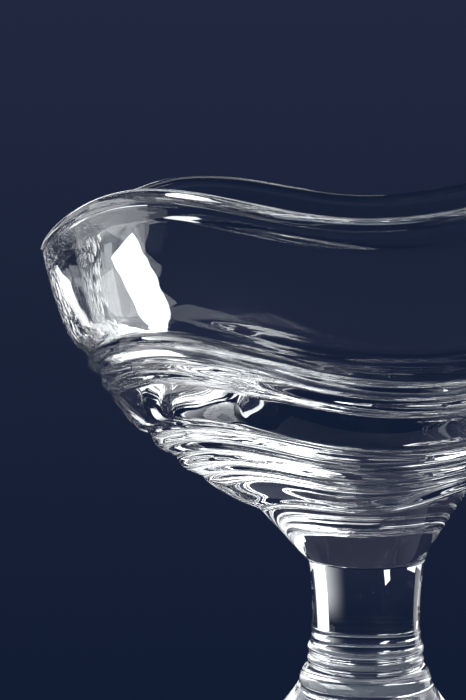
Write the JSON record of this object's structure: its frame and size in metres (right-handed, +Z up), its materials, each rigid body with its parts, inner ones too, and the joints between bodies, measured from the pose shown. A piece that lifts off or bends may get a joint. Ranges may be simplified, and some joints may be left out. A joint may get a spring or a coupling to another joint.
{
  "type": "footed dessert dish",
  "caption": "Clear pressed-glass footed dessert dish: thick bowl with a wavy rim and wavy ledges on a short stem, a beaded collar and a flaring hollow foot.",
  "frame": {"origin": "centre of the foot's underside, on the table", "axes": "+Z up along the axis of the dish, +X towards a deep dip of the rim, -Y towards the side that the picture shows"},
  "size_m": [0.106, 0.1082, 0.1],
  "materials": {
    "clear_glass": "clear soda-lime glass, pressed and fire-polished"
  },
  "bodies": {
    "root": {"foot": "clear_glass", "collar": "clear_glass", "stem": "clear_glass", "bowl": "clear_glass"}
  },
  "joints": []
}
